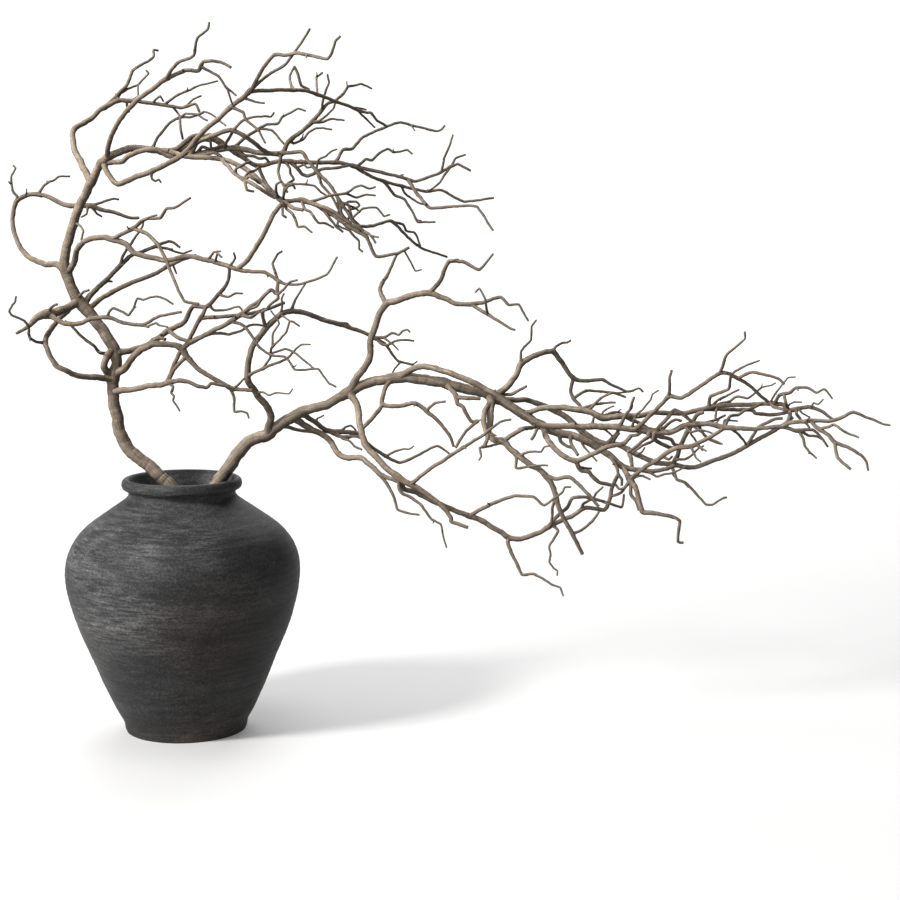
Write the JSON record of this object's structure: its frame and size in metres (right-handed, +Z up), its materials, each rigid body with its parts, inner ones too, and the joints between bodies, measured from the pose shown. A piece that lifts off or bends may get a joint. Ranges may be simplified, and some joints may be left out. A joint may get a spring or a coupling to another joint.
{
  "type": "bare twisted tree branches in a vase",
  "caption": "Two bare, dry, twisted tree branches with fine zig-zag twigs, standing in a dark round-shouldered stoneware vase with a rolled lip.",
  "frame": {"origin": "centre of the vase's flat underside", "axes": "+Z up along the vase's axis; +X towards the tip of the right branch, which reaches out past the vase; +Y towards the back"},
  "size_m": [1.2096, 0.329, 0.9718],
  "materials": {
    "stoneware": "matte charcoal with brushed lighter streaks round the body",
    "bark": "dry greyish-brown bark, streaked along the grain"
  },
  "bodies": {
    "root": {"vase": "stoneware", "left_trunk": "bark", "left_big_loop": "bark", "left_low_loop": "bark", "left_burl_limb": "bark", "left_hook_limb": "bark", "left_back_diagonal": "bark", "left_front_diagonal": "bark", "left_low_limb_1": "bark", "left_low_limb_2": "bark", "left_low_limb_3": "bark", "left_crown_limb_1": "bark", "left_crown_limb_2": "bark", "left_top_limb": "bark", "left_long_limb": "bark", "left_tangle_limb": "bark", "left_tangle_low": "bark", "right_stem": "bark", "right_inner_limb": "bark", "right_upright_limb": "bark", "right_light_limb": "bark", "right_long_strand": "bark", "right_top_strand": "bark", "right_upper_limb": "bark", "right_rise_limb": "bark", "right_drop_limb": "bark", "right_low_limb": "bark", "right_dark_limb": "bark", "right_under_limb": "bark", "right_under_arm": "bark", "right_link_limb": "bark", "right_cross_strand": "bark", "right_dangle_limb": "bark", "right_hanging_loop": "bark", "right_hub_limb": "bark", "right_tip_limb": "bark"}
  },
  "joints": []
}
